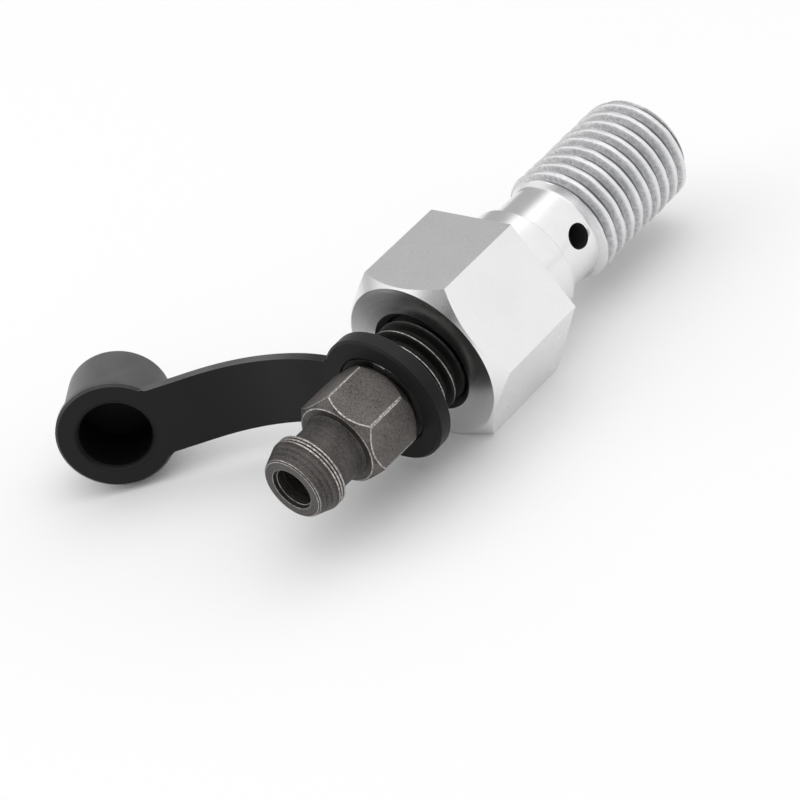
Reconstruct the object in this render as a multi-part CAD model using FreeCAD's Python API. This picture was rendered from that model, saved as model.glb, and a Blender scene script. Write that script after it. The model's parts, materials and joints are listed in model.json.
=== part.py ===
import FreeCAD, Part
import math
import os

# Hollow-bolt brake bleeder: banjo bolt, bleed nipple and tethered rubber dust cap.
# Millimetres. The bolt's axis is X, with its M10 thread towards +X, and the bolt
# lies on a flat of its hexagon with +Z up. The origin is on the axis, in the
# plane of the sealing face where the hexagon ends and the washer land begins.

# Banjo bolt, outside
HEX_ACROSS_FLATS = 14.0
HEX_LENGTH = 9.6
HEX_FACE_CIRCLE = 13.7
HEX_CHAMFER_ANGLE = 40.0
HEX_TURN = 30.0
LAND_DIAMETER = 10.0
LAND_LENGTH = 3.9
LAND_EDGE_CHAMFER = 0.2
WAIST_DIAMETER = 8.65
WAIST_LENGTH = 4.2
WAIST_STEP_LENGTH = 0.35
SHANK_THREAD_DIAMETER = 9.95
SHANK_THREAD_LENGTH = 13.0
THREAD_RUN_IN_LENGTH = 1.4
THREAD_END_CHAMFER = 1.2

# Banjo bolt, fluid passages and the nipple's bore
PASSAGE_DIAMETER = 3.2
PASSAGE_MOUTH_CHAMFER = 0.3
CROSS_HOLE_DIAMETER = 2.1
CROSS_HOLE_FROM_LAND = 2.7
CROSS_HOLE_TURN = 72.0
CROSS_HOLE_COUNTERSINK = 0.2
NIPPLE_BORE_DEPTH = 8.6
NIPPLE_BORE_MOUTH_CHAMFER = 0.5
SEAT_HALF_ANGLE = 45.0

# Bleed nipple
NIPPLE_THREAD_DIAMETER = 7.96
NIPPLE_STANDOFF = 5.2
NIPPLE_HEX_ACROSS_FLATS = 7.1
NIPPLE_HEX_LENGTH = 5.4
NIPPLE_HEX_FACE_CIRCLE = 6.75
NIPPLE_HEX_CHAMFER_ANGLE = 49.0
NIPPLE_HEX_TURN = 1.0
NECK_DIAMETER = 5.25
SPIGOT_LENGTH = 5.4
RIM_DIAMETER = 6.4
RIM_WIDTH = 0.72
SHOULDER_LENGTH = 0.4
NOSE_LENGTH = 1.65
TIP_DIAMETER = 5.3
TIP_EDGE_CHAMFER = 0.14
NIPPLE_BORE_DIAMETER = 3.25
NIPPLE_MOUTH_DIAMETER = 3.6
NIPPLE_MOUTH_DEPTH = 0.3
CONE_SHANK_DIAMETER = 6.2
CONE_SHANK_LENGTH = 1.9
CONE_END_DIAMETER = 2.6
PORT_DIAMETER = 1.2

# Dust cap
RING_DIAMETER = 11.15
RING_THICKNESS = 1.5
STRAP_WIDTH = 6.1
STRAP_THICKNESS = 0.8
STRAP_STRAIGHT = 4.85
STRAP_BEND_RADIUS = 16.8
STRAP_BEND_ANGLE = 41.6
STRAP_REACH_TO_CUP = 7.55
STRAP_DROOP = 4.3
STRAP_FILLET = 0.6
CUP_RIM_DIAMETER = 9.6
CUP_BODY_DIAMETER = 9.0
CUP_END_DIAMETER = 8.4
CUP_DEPTH = 6.5
CUP_END_ROUND = 0.5
CUP_BORE_DIAMETER = 5.9
CUP_BORE_DEPTH = 4.8
CUP_MOUTH_CHAMFER = 0.25
RUBBER_EDGE_CHAMFER = 0.2

# Clearances of the fits
THREAD_CLEARANCE = 0.05
SEAT_CLEARANCE = 0.05
RING_BORE_CLEARANCE = 0.05
RING_FACE_CLEARANCE = 0.1

# How far a cutting shape reaches past the surface that it cuts
CUT_OVERLAP = 0.5

# Places along the axis that follow from the sizes
near_face_x = -HEX_LENGTH
waist_start_x = LAND_LENGTH
thread_start_x = LAND_LENGTH + WAIST_LENGTH
bolt_end_x = thread_start_x + SHANK_THREAD_LENGTH
cross_hole_x = LAND_LENGTH + CROSS_HOLE_FROM_LAND
bore_radius = NIPPLE_THREAD_DIAMETER / 2 + THREAD_CLEARANCE
bore_end_x = near_face_x + NIPPLE_BORE_DEPTH
hex_back_x = near_face_x - NIPPLE_STANDOFF
hex_front_x = hex_back_x - NIPPLE_HEX_LENGTH
tip_x = hex_front_x - SPIGOT_LENGTH
ring_front_x = hex_back_x + RING_FACE_CLEARANCE

HEX_SIDES = 6
FULL_TURN = 360
AXIS = FreeCAD.Vector(1, 0, 0)
ORIGIN = FreeCAD.Vector(0, 0, 0)


def revolve(profile):
    """Solid turned about X from (x, radius) points, closed along the axis."""
    first_x = profile[0][0]
    last_x = profile[-1][0]
    outline = [(first_x, 0.0)] + profile + [(last_x, 0.0), (first_x, 0.0)]
    points = [FreeCAD.Vector(x, 0, radius) for x, radius in outline]
    face = Part.Face(Part.makePolygon(points))
    return face.revolve(ORIGIN, AXIS, FULL_TURN)


def radial_direction(turn):
    """Unit vector across the axis, `turn` degrees from +Z about X."""
    angle = math.radians(turn)
    return FreeCAD.Vector(0, -math.sin(angle), math.cos(angle))


def corner_radius(across_flats):
    """Distance from a hexagon's middle to its corners."""
    return across_flats / math.sqrt(3)


def hexagon_bar(across_flats, start_x, length, turn):
    """Hexagonal bar along X, with a corner `turn` degrees from +Z about X."""
    radius = corner_radius(across_flats)
    corners = []
    for step in range(HEX_SIDES + 1):
        outward = radial_direction(turn + step * FULL_TURN / HEX_SIDES)
        corners.append(AXIS * start_x + outward * radius)
    face = Part.Face(Part.makePolygon(corners))
    return face.extrude(AXIS * length)


def chamfer_cone(across_flats, face_circle, angle):
    """Radius outside the bar's corners, and how far the chamfer runs to reach it."""
    outer_radius = corner_radius(across_flats) + CUT_OVERLAP
    rise = outer_radius - face_circle / 2
    return outer_radius, rise * math.tan(math.radians(angle))


def cross_drilling(x, turn, diameter, reach):
    """Drill through the axis at x, reaching out equally on both sides."""
    direction = radial_direction(turn)
    start = FreeCAD.Vector(x, 0, 0) - direction * reach
    return Part.makeCylinder(diameter / 2, 2 * reach, start, direction)


def countersink(x, turn, surface_radius, hole_diameter, depth):
    """Cone that breaks the edge where a cross drilling leaves a round surface."""
    direction = radial_direction(turn)
    inner_radius = hole_diameter / 2
    start = FreeCAD.Vector(x, 0, 0) + direction * (surface_radius - 2 * depth)
    return Part.makeCone(inner_radius, inner_radius + 3 * depth, 3 * depth, start, direction)


def bolt_body():
    """Hexagon chamfered on its near face, with the turned land, waist and thread."""
    bar = hexagon_bar(HEX_ACROSS_FLATS, near_face_x, HEX_LENGTH, HEX_TURN)
    outer, chamfer = chamfer_cone(HEX_ACROSS_FLATS, HEX_FACE_CIRCLE, HEX_CHAMFER_ANGLE)
    envelope = revolve([
        (near_face_x, HEX_FACE_CIRCLE / 2),
        (near_face_x + chamfer, outer),
        (0.0, outer),
    ])
    land = LAND_DIAMETER / 2
    waist = WAIST_DIAMETER / 2
    thread = SHANK_THREAD_DIAMETER / 2
    shank = revolve([
        (near_face_x / 2, land),
        (waist_start_x - LAND_EDGE_CHAMFER, land),
        (waist_start_x, land - LAND_EDGE_CHAMFER),
        (waist_start_x + WAIST_STEP_LENGTH, waist),
        (thread_start_x, waist),
        (thread_start_x + THREAD_RUN_IN_LENGTH, thread),
        (bolt_end_x - THREAD_END_CHAMFER, thread),
        (bolt_end_x, thread - THREAD_END_CHAMFER),
    ])
    return bar.common(envelope).fuse(shank)


def bolt_passages():
    """Threaded bore, conical seat, axial passage and cross drilling, as one tool."""
    passage = PASSAGE_DIAMETER / 2
    mouth = bore_radius + NIPPLE_BORE_MOUTH_CHAMFER
    seat_length = (bore_radius - passage) / math.tan(math.radians(SEAT_HALF_ANGLE))
    axial = revolve([
        (near_face_x - NIPPLE_BORE_MOUTH_CHAMFER, mouth + NIPPLE_BORE_MOUTH_CHAMFER),
        (near_face_x + NIPPLE_BORE_MOUTH_CHAMFER, bore_radius),
        (bore_end_x, bore_radius),
        (bore_end_x + seat_length, passage),
        (bolt_end_x - PASSAGE_MOUTH_CHAMFER, passage),
        (bolt_end_x + PASSAGE_MOUTH_CHAMFER, passage + 2 * PASSAGE_MOUTH_CHAMFER),
    ])
    drilling = cross_drilling(cross_hole_x, CROSS_HOLE_TURN, CROSS_HOLE_DIAMETER, LAND_DIAMETER)
    tool = axial.fuse(drilling)
    for side in (0, 180):
        tool = tool.fuse(countersink(
            cross_hole_x,
            CROSS_HOLE_TURN + side,
            WAIST_DIAMETER / 2,
            CROSS_HOLE_DIAMETER,
            CROSS_HOLE_COUNTERSINK,
        ))
    return tool


def banjo_bolt():
    return bolt_body().cut(bolt_passages())


def spigot_profile():
    """Hose spigot from the tip in to the hexagon: nose, rim, shoulder and neck."""
    rim = RIM_DIAMETER / 2
    rim_front_x = tip_x + NOSE_LENGTH
    rim_back_x = rim_front_x + RIM_WIDTH
    neck = NECK_DIAMETER / 2
    return [
        (tip_x, TIP_DIAMETER / 2 - TIP_EDGE_CHAMFER),
        (tip_x + TIP_EDGE_CHAMFER, TIP_DIAMETER / 2),
        (rim_front_x, rim),
        (rim_back_x, rim),
        (rim_back_x + SHOULDER_LENGTH, neck),
        (hex_front_x, neck),
    ]


def shank_profile():
    """Threaded shank from the hexagon in to the cone that closes on the seat."""
    thread = NIPPLE_THREAD_DIAMETER / 2
    cone_shank = CONE_SHANK_DIAMETER / 2
    cone_end = CONE_END_DIAMETER / 2
    slope = math.tan(math.radians(SEAT_HALF_ANGLE))
    cone_start_x = bore_end_x + (bore_radius - cone_shank) / slope - SEAT_CLEARANCE
    cone_end_x = cone_start_x + (cone_shank - cone_end) / slope
    thread_end_x = cone_start_x - CONE_SHANK_LENGTH
    return [
        (thread_end_x, thread),
        (thread_end_x + thread - cone_shank, cone_shank),
        (cone_start_x, cone_shank),
        (cone_end_x, cone_end),
    ]


def bleed_nipple():
    thread = NIPPLE_THREAD_DIAMETER / 2
    middle_x = (hex_front_x + hex_back_x) / 2
    spigot = revolve(spigot_profile() + [(middle_x, NECK_DIAMETER / 2)])
    shank = revolve([(middle_x, NECK_DIAMETER / 2), (hex_back_x, NECK_DIAMETER / 2),
                     (hex_back_x, thread)] + shank_profile())
    bar = hexagon_bar(NIPPLE_HEX_ACROSS_FLATS, hex_front_x, NIPPLE_HEX_LENGTH, NIPPLE_HEX_TURN)
    outer, chamfer = chamfer_cone(
        NIPPLE_HEX_ACROSS_FLATS, NIPPLE_HEX_FACE_CIRCLE, NIPPLE_HEX_CHAMFER_ANGLE
    )
    envelope = revolve([
        (hex_front_x, NIPPLE_HEX_FACE_CIRCLE / 2),
        (hex_front_x + chamfer, outer),
        (hex_back_x - chamfer, outer),
        (hex_back_x, NIPPLE_HEX_FACE_CIRCLE / 2),
    ])
    body = bar.common(envelope).fuse([spigot, shank])
    cone_start_x = shank_profile()[2][0]
    port_x = cone_start_x - PORT_DIAMETER
    bore = revolve([
        (tip_x, NIPPLE_MOUTH_DIAMETER / 2),
        (tip_x + NIPPLE_MOUTH_DEPTH, NIPPLE_MOUTH_DIAMETER / 2),
        (tip_x + NIPPLE_MOUTH_DEPTH, NIPPLE_BORE_DIAMETER / 2),
        (port_x, NIPPLE_BORE_DIAMETER / 2),
    ])
    port = cross_drilling(port_x, NIPPLE_HEX_TURN, PORT_DIAMETER, CONE_SHANK_DIAMETER)
    return body.cut(bore.fuse(port))


def strap_end_outline(end_radius, reach):
    """Strap seen square on, leaving a round end at the origin with concave fillets.

    The strap runs along +Y from the middle of a disc of end_radius out to reach.
    """
    half = STRAP_WIDTH / 2
    fillet_offset = end_radius + STRAP_FILLET
    centre_z = half + STRAP_FILLET
    centre_y = math.sqrt(fillet_offset ** 2 - centre_z ** 2)
    tangent_y = centre_y * end_radius / fillet_offset
    tangent_z = centre_z * end_radius / fillet_offset
    middle_angle = (math.atan2(-centre_z, -centre_y) - math.pi / 2) / 2
    middle_y = centre_y + STRAP_FILLET * math.cos(middle_angle)
    middle_z = centre_z + STRAP_FILLET * math.sin(middle_angle)
    upper = [
        FreeCAD.Vector(0, tangent_y, tangent_z),
        FreeCAD.Vector(0, middle_y, middle_z),
        FreeCAD.Vector(0, centre_y, half),
    ]
    lower = [FreeCAD.Vector(0, point.y, -point.z) for point in upper]
    edges = [
        Part.LineSegment(FreeCAD.Vector(0, 0, tangent_z), upper[0]),
        Part.Arc(*upper),
        Part.LineSegment(upper[2], FreeCAD.Vector(0, reach, half)),
        Part.LineSegment(FreeCAD.Vector(0, reach, half), FreeCAD.Vector(0, reach, -half)),
        Part.LineSegment(FreeCAD.Vector(0, reach, -half), lower[2]),
        Part.Arc(lower[2], lower[1], lower[0]),
        Part.LineSegment(lower[0], FreeCAD.Vector(0, 0, -tangent_z)),
        Part.LineSegment(FreeCAD.Vector(0, 0, -tangent_z), FreeCAD.Vector(0, 0, tangent_z)),
    ]
    return Part.Face(Part.Wire([edge.toShape() for edge in edges]))


def bend_point(radius, angle_degrees):
    """Point on the strap's bend, which curls from +Y towards -X."""
    angle = math.radians(angle_degrees)
    x = ring_front_x - STRAP_BEND_RADIUS + radius * math.cos(angle)
    y = STRAP_STRAIGHT + radius * math.sin(angle)
    return FreeCAD.Vector(x, y, 0)


def cup_centre():
    """Middle of the cup's open face, at the end of the strap's front face."""
    angle = math.radians(STRAP_BEND_ANGLE)
    along = FreeCAD.Vector(-math.sin(angle), math.cos(angle), 0)
    return bend_point(STRAP_BEND_RADIUS, STRAP_BEND_ANGLE) + along * STRAP_REACH_TO_CUP


def cup_placement():
    """Turns the X axis on to the cup's axis, from its open face to its closed end."""
    turn = FreeCAD.Rotation(FreeCAD.Vector(0, 0, 1), STRAP_BEND_ANGLE)
    return FreeCAD.Placement(cup_centre(), turn)


def strap_half(start_angle, end_angle, lead_in):
    """Side view of one half of the bent strap, with a straight lead-in at one end."""
    inner = STRAP_BEND_RADIUS
    outer = STRAP_BEND_RADIUS + STRAP_THICKNESS
    middle = (start_angle + end_angle) / 2
    front = [bend_point(inner, angle) for angle in (start_angle, middle, end_angle)]
    back = [bend_point(outer, angle) for angle in (end_angle, middle, start_angle)]
    edges = [
        Part.Arc(*front),
        Part.LineSegment(front[2], back[0]),
        Part.Arc(*back),
        Part.LineSegment(back[2], front[0]),
    ]
    bend = Part.Face(Part.Wire([edge.toShape() for edge in edges]))
    if lead_in < 0:
        root = [front[0], back[2]]
        angle = math.radians(start_angle)
    else:
        root = [front[2], back[0]]
        angle = math.radians(end_angle)
    run = FreeCAD.Vector(-math.sin(angle), math.cos(angle), 0) * lead_in
    corners = [root[0], root[1], root[1] + run, root[0] + run, root[0]]
    lead = Part.Face(Part.makePolygon(corners))
    width = FreeCAD.Vector(0, 0, RING_DIAMETER)
    solid = bend.extrude(width).fuse(lead.extrude(width))
    solid.translate(width * -0.5)
    return solid.removeSplitter()


def strap():
    """Bent strap, blended into the ring at one end and into the cup at the other."""
    middle = STRAP_BEND_ANGLE / 2
    reach = STRAP_STRAIGHT + STRAP_BEND_RADIUS
    depth = 2 * STRAP_BEND_RADIUS
    ring_outline = strap_end_outline(RING_DIAMETER / 2, reach)
    ring_outline.translate(FreeCAD.Vector(ring_front_x - STRAP_BEND_RADIUS, 0, 0))
    ring_end = strap_half(0, middle, -STRAP_STRAIGHT).common(ring_outline.extrude(AXIS * depth))
    cup_outline = strap_end_outline(CUP_RIM_DIAMETER / 2, reach)
    cup_outline.rotate(ORIGIN, AXIS, 180)
    cup_outline.translate(FreeCAD.Vector(-STRAP_BEND_RADIUS, 0, 0))
    cup_prism = cup_outline.extrude(AXIS * depth)
    cup_prism.Placement = cup_placement().multiply(cup_prism.Placement)
    cup_end = strap_half(middle, STRAP_BEND_ANGLE, STRAP_REACH_TO_CUP).common(cup_prism)
    return ring_end.fuse(cup_end)


def moulded_disc(diameter, thickness, start_x):
    """Disc about X with both outer edges eased, as the halves of a mould leave them."""
    radius = diameter / 2
    end_x = start_x + thickness
    return revolve([
        (start_x, radius - RUBBER_EDGE_CHAMFER),
        (start_x + RUBBER_EDGE_CHAMFER, radius),
        (end_x - RUBBER_EDGE_CHAMFER, radius),
        (end_x, radius - RUBBER_EDGE_CHAMFER),
    ])


def cup_body():
    """Outside of the cup in its own frame: open face at X zero, closed end at +X."""
    rim = moulded_disc(CUP_RIM_DIAMETER, STRAP_THICKNESS, 0.0)
    body = revolve([
        (STRAP_THICKNESS / 2, CUP_BODY_DIAMETER / 2),
        (STRAP_THICKNESS, CUP_BODY_DIAMETER / 2),
        (CUP_DEPTH, CUP_END_DIAMETER / 2),
    ])
    end_edges = [edge for edge in body.Edges if edge.BoundBox.XMin > CUP_BORE_DEPTH]
    return rim.fuse(body.makeFillet(CUP_END_ROUND, end_edges))


def cup_bore():
    bore = CUP_BORE_DIAMETER / 2
    return revolve([
        (-CUP_MOUTH_CHAMFER, bore + 2 * CUP_MOUTH_CHAMFER),
        (CUP_MOUTH_CHAMFER, bore),
        (CUP_BORE_DEPTH, bore),
    ])


def dust_cap():
    ring = moulded_disc(RING_DIAMETER, RING_THICKNESS, ring_front_x)
    cup = cup_body()
    cup.Placement = cup_placement()
    hollow = cup_bore()
    hollow.Placement = cup_placement()
    ring_bore = Part.makeCylinder(
        NIPPLE_THREAD_DIAMETER / 2 + RING_BORE_CLEARANCE,
        RING_THICKNESS + 2 * CUT_OVERLAP,
        FreeCAD.Vector(ring_front_x - CUT_OVERLAP, 0, 0),
        AXIS,
    )
    cap = ring.fuse([strap(), cup]).cut(hollow.fuse(ring_bore))
    cap.rotate(ORIGIN, AXIS, -STRAP_DROOP)
    return cap


def export(name, shape):
    solid = shape.removeSplitter()
    if len(solid.Solids) != 1 or not solid.isValid():
        raise RuntimeError(name + " is not one valid solid")
    box = solid.BoundBox
    print(name, "volume", round(solid.Volume, 2), "box",
          [round(value, 3) for value in (box.XMin, box.YMin, box.ZMin, box.XMax, box.YMax, box.ZMax)])
    solid.Solids[0].exportStep("parts/" + name + ".step")


os.makedirs("parts", exist_ok=True)
export("banjo_bolt", banjo_bolt())
export("bleed_nipple", bleed_nipple())
export("dust_cap", dust_cap())
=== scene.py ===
"""Dresses the hollow-bolt brake bleeder: turned and threaded steel, rubber cap and stage."""

import json
import math

import bmesh
import bpy
from mathutils import Matrix, Vector, noise


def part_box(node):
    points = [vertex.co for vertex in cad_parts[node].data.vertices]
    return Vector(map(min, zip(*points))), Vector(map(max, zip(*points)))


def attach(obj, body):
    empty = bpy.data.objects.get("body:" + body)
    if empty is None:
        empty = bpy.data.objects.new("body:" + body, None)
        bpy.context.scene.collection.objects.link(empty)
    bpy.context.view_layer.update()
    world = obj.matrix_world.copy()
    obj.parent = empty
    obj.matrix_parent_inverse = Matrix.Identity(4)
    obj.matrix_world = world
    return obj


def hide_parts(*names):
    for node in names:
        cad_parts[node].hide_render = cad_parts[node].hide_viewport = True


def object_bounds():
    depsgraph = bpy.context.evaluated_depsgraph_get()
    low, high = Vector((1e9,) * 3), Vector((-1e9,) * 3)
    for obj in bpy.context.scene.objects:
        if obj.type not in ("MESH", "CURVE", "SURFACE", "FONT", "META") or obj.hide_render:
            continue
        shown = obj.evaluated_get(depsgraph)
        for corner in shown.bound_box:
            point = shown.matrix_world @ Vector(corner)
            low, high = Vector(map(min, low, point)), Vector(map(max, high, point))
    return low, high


bl_info = {
    "name": "Bleeder screw dressing",
    "version": (1, 0, 0),
    "blender": (4, 5, 0),
    "location": "3D View > Sidebar > Bleeder",
    "description": "Threads, surface finishes, rubber cap and studio stage of a brake bleeder",
    "category": "Object",
}

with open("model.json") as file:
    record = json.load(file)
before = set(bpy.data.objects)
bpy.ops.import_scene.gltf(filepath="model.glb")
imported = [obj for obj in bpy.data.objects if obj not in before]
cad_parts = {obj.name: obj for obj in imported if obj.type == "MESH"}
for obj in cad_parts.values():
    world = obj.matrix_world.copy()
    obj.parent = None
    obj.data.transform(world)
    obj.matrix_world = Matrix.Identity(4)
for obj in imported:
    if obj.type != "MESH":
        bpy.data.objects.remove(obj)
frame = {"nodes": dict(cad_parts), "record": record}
CAD_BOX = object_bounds()
MM = 0.001
MOUNTS = {mount["name"]: mount for mount in frame["record"]["mounts"]}
BOLT_LOW, BOLT_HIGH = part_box("banjo_bolt")
NIPPLE_LOW, NIPPLE_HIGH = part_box("bleed_nipple")
# Points round the axis in each ring, and round the cross drilling.
SEGMENTS = 180
DRILLING_SEGMENTS = 64
# Half the angle that one side of a hexagon spans.
HALF_SIDE = math.radians(30)
# Rows of a thread's mesh in one pitch.
ROWS_PER_PITCH = 28
# How far the corners of a thread's profile are rounded, from 0 to 1.
CORNER_EASE = 0.8
# Only edges sharper than this show on a thread, such as its ends.
THREAD_SHARP = math.radians(75)
# Length of one torn patch along a crest.
TEAR_LENGTH = 1.1 * MM
# How near a face's middle is to the surface that the face lies on.
TOUCH = 0.01 * MM
# Points that are nearer than this are one.
WELD = 1e-8
# Cosines between which the studio's panels and its dark opening fade in.
SIDE_PANEL_EDGE = (0.55, 0.87)
BACK_PANEL_EDGE = (0.8, 0.97)
DARK_EDGE = (0.9, 0.985)
# What the dark opening leaves of the walls' light.
DARK_LEVEL = 0.15


def mount_radius(name):
    """A mount's radius in metres, from the record."""
    return MOUNTS[name]["dims"]["r_mm"] * MM


def length(name, description, default):
    """A size in metres that the sidebar shows with its unit."""
    return bpy.props.FloatProperty(
        name=name, description=description, default=default, unit="LENGTH", precision=5
    )


def colour(name, description, default):
    """A finish's colour as an sRGB hex value."""
    return bpy.props.StringProperty(name=name, description=description, default=default)


class BoltSizes(bpy.types.PropertyGroup):
    """Sizes of the banjo bolt, in metres."""

    across_flats: length("Across flats", "Width of the hexagon", BOLT_HIGH.z - BOLT_LOW.z)
    head_length: length("Hexagon length", "From the near face to the sealing face", -BOLT_LOW.x)
    face_circle: length("Face circle", "Diameter of the chamfered near face", 13.7 * MM)
    chamfer_angle: bpy.props.FloatProperty(
        name="Chamfer angle", description="Lean of the hexagon's chamfer",
        default=math.radians(40), subtype="ANGLE"
    )
    land_radius: length("Land radius", "Land beyond the hexagon", mount_radius("washer_land"))
    land_length: length("Land length", "Land beyond the hexagon", 3.9 * MM)
    waist_radius: length("Waist radius", "Relieved waist with the cross drilling", 4.325 * MM)
    waist_length: length("Waist length", "From the land to the thread", 4.2 * MM)
    crest_radius: length("Crest radius", "Shank thread", mount_radius("shank_thread"))
    pitch: length("Pitch", "Both threads", 1.25 * MM)
    thread_depth: length("Thread depth", "Crest to root", 0.7 * MM)
    end_chamfer: length("End chamfer", "At the threaded end", 1.2 * MM)
    corner_width: length("Corner width", "Rounding of the drawn bar's corners", 0.2 * MM)
    bore_radius: length("Bore radius", "Bore that takes the nipple", 4.03 * MM)
    bore_depth: length("Bore depth", "Threaded bore from the near face", 8.6 * MM)
    passage_radius: length("Passage radius", "Axial fluid passage", 1.6 * MM)
    drilling_radius: length("Drilling radius", "Cross drilling through the waist", 1.05 * MM)
    drilling_offset: length("Drilling offset", "From the land to the drilling", 2.7 * MM)
    drilling_turn: bpy.props.FloatProperty(
        name="Drilling turn", description="Turn of the cross drilling from the upper flat",
        default=math.radians(72), subtype="ANGLE"
    )


class NippleSizes(bpy.types.PropertyGroup):
    """Sizes of the bleed nipple, in metres."""

    across_flats: length("Across flats", "Width of the nipple's hexagon", 7.1 * MM)
    hex_length: length("Hexagon length", "Nipple's hexagon", 5.4 * MM)
    face_circle: length("Face circle", "Diameter inside both chamfers", 6.75 * MM)
    spigot_length: length("Spigot length", "From the hexagon to the tip", 5.4 * MM)
    neck_radius: length("Neck radius", "Behind the rim", 2.625 * MM)
    rim_radius: length("Rim radius", "Hose rim", mount_radius("hose_rim"))
    rim_width: length("Rim width", "Grooved rim", MOUNTS["hose_rim"]["dims"]["length_mm"] * MM)
    nose_length: length("Nose length", "Tapered nose in front of the rim", 1.65 * MM)
    tip_radius: length("Tip radius", "Outer radius of the tip face", 2.65 * MM)
    mouth_radius: length("Mouth radius", "Counterbore in the tip", 1.8 * MM)
    bore_radius: length("Bore radius", "Axial bore", 1.625 * MM)
    crest_radius: length("Crest radius", "Nipple's thread", 3.98 * MM)
    thread_depth: length("Thread depth", "Crest to root", 0.7 * MM)
    cone_radius: length("Cone shank radius", "Plain shank before the cone", 3.1 * MM)
    cone_shank: length("Cone shank length", "From the thread to the cone", 1.9 * MM)
    cone_tip: length("Cone tip radius", "Small end of the cone", 1.3 * MM)
    wear: length("Wear width", "Bright line rubbed along each edge", 0.06 * MM)


class FinishColours(bpy.types.PropertyGroup):
    """Colours of the finishes, as sRGB hex."""

    zinc: colour("Bright zinc", "Drawn and turned surfaces of the bolt", "#EDEDEE")
    zinc_root: colour("Dull zinc", "Stains, and the torn flanks of the thread", "#BEBEC0")
    # Painted shade: dark grey laid along the roots of the bolt's thread.
    zinc_root_shade: colour("Oily zinc", "Oil held in the roots of the bolt's thread", "#6A6B6D")
    # Dark grey of the passages: partly oil-dark steel, partly painted shade of these recesses.
    drilled: colour("Drilled steel", "Oil-dark passages", "#464646")
    phosphate: colour("Phosphate", "Dark coating of the nipple", "#7A7572")
    phosphate_dark: colour("Phosphate shade", "Oil in the coating's pores", "#454140")
    spigot: colour("Phosphate on the spigot", "Darker coating of the turned spigot", "#625E5C")
    spigot_dark: colour("Spigot shade", "Oil in the spigot's tool marks", "#33302F")
    # Painted shade: a near-black copy of the phosphate for the nipple's thread, which shows only
    # in the narrow gap at the bolt's bore mouth.
    thread_painted_shade: colour("Phosphated thread", "Oil held in the nipple's thread", "#242322")
    worn: colour("Worn steel", "Edges rubbed bright", "#C9C6C2")
    rubber: colour("Rubber", "Black moulded rubber", "#0F0F10")
    # Grey of the painted highlight on the rubber's up-facing surfaces, standing in for the light
    # from above.
    painted_highlight: colour("Rubber bloom", "Grey bloom on what faces up", "#535355")
    floor: colour("Floor", "White studio floor", "#FEFEFE")


class StageSizes(bpy.types.PropertyGroup):
    """Camera, softbox and studio walls. Places are in metres in the part's frame."""

    camera_place: bpy.props.FloatVectorProperty(
        name="Camera place", description="Where the camera stands",
        default=(-0.12383, -0.13492, 0.11604), subtype="XYZ"
    )
    camera_target: bpy.props.FloatVectorProperty(
        name="Camera target", description="Point in the middle of the frame",
        default=(-0.01239, 0.00067, -0.00181), subtype="XYZ"
    )
    camera_roll: bpy.props.FloatProperty(
        name="Camera roll", description="Lean of the camera to its right",
        default=math.radians(20.12), subtype="ANGLE"
    )
    lens: bpy.props.FloatProperty(name="Lens", description="Focal length in mm", default=123.81)
    side_panel: bpy.props.FloatVectorProperty(
        name="Side panel", description="Direction of the white panel at the side",
        default=(0.54, -0.55, 0.63), subtype="DIRECTION"
    )
    back_panel: bpy.props.FloatVectorProperty(
        name="Back panel", description="Direction of the white panel behind",
        default=(-0.64, 0.64, 0.42), subtype="DIRECTION"
    )
    dark_opening: bpy.props.FloatVectorProperty(
        name="Dark opening", description="Direction of the studio's dark opening",
        default=(-0.88, 0.0, 0.47), subtype="DIRECTION"
    )
    wall_level: bpy.props.FloatProperty(
        name="Wall level", description="Brightness of the grey walls", default=0.48
    )
    top_power: bpy.props.FloatProperty(
        name="Top power", description="Softbox overhead, in watts", default=1.6
    )
    top_size: length("Top size", "Width of the square softbox overhead", 0.88)
    top_place: bpy.props.FloatVectorProperty(
        name="Top place", description="Where the softbox overhead hangs",
        default=(-0.08, 0.05, 0.45), subtype="XYZ"
    )


def linear(hex_value):
    """sRGB hex value as linear red, green, blue and alpha."""
    channels = []
    for start in (1, 3, 5):
        value = int(hex_value[start:start + 2], 16) / 255
        channels.append(value / 12.92 if value <= 0.04045 else ((value + 0.055) / 1.055) ** 2.4)
    return (*channels, 1.0)


def node(tree, kind, inputs=None, **settings):
    """Adds a node with its settings, and sets or links its inputs.

    An input goes by its name, or by its number where names repeat. Its value is a plain
    value, a socket, or a node whose first output in use is taken.
    """
    made = tree.nodes.new(kind)
    for name, value in settings.items():
        setattr(made, name, value)
    used = [socket for socket in made.inputs if socket.enabled]
    for key, value in (inputs or {}).items():
        target = used[key] if isinstance(key, int) else made.inputs[key]
        if isinstance(value, bpy.types.Node):
            value = next(socket for socket in value.outputs if socket.enabled)
        if isinstance(value, bpy.types.NodeSocket):
            tree.links.new(value, target)
        else:
            target.default_value = value
    return made


def new_material(name):
    """Material with an empty node tree, and its surface point in metres."""
    material = bpy.data.materials.new(name)
    material.use_nodes = True
    tree = material.node_tree
    tree.nodes.clear()
    return material, tree, node(tree, "ShaderNodeTexCoord").outputs["Object"]


def scale_for(feature_mm):
    """Pattern scale at which one feature is feature_mm across."""
    return 1 / (feature_mm * MM)


def lathe_point(tree, point):
    """Distance along the axis and out from it, which is constant round each tool mark."""
    parts = node(tree, "ShaderNodeSeparateXYZ", {"Vector": point})
    across = node(
        tree, "ShaderNodeCombineXYZ", {"Y": parts.outputs["Y"], "Z": parts.outputs["Z"]}
    )
    radius = node(tree, "ShaderNodeVectorMath", {0: across}, operation="LENGTH")
    radius = radius.outputs["Value"]
    return node(tree, "ShaderNodeCombineXYZ", {"X": parts.outputs["X"], "Y": radius}), radius


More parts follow.
